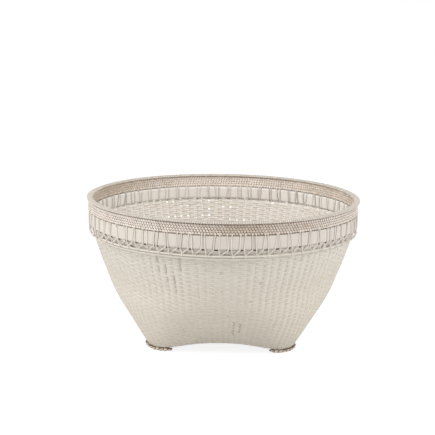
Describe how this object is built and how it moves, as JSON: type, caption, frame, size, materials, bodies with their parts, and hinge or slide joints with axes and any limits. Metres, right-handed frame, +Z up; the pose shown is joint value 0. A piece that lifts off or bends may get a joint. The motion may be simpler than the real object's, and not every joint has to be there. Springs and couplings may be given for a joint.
{
  "type": "rattan basket",
  "caption": "Open round-rimmed storage basket of whitened woven cane on a square base with wrapped corner feet, a lashed hoop band and a coiled rim with a wrapped border.",
  "frame": {"origin": "on the floor, under the middle of the base", "axes": "+Z is up out of the mouth; -Y is the side of the square base that faces the picture; +X is to the right of the picture"},
  "size_m": [0.559, 0.559, 0.2908],
  "materials": {
    "weave": "whitened split stakes, matt, slightly uneven",
    "hoop": "whitened flat splint, satin",
    "coil": "thinly whitened round cane, matt",
    "strand": "whitened cane skin, satin",
    "core": "bare round cane, matt"
  },
  "bodies": {
    "root": {"woven_body": "weave", "outer_hoop": "hoop", "inner_hoop": "hoop", "coil_rod_1": "coil", "coil_rod_2": "coil", "coil_rod_3": "coil", "coil_rod_4": "coil", "border_core_outer": "core", "border_core_inner": "core", "border_wrap": "strand", "lower_rod": "strand", "hoop_lashing": "strand", "coil_binding": "strand", "foot_front_right_core": "core", "foot_front_right_wrap": "strand", "foot_rear_right_core": "core", "foot_rear_right_wrap": "strand", "foot_rear_left_core": "core", "foot_rear_left_wrap": "strand", "foot_front_left_core": "core", "foot_front_left_wrap": "strand"}
  },
  "joints": []
}
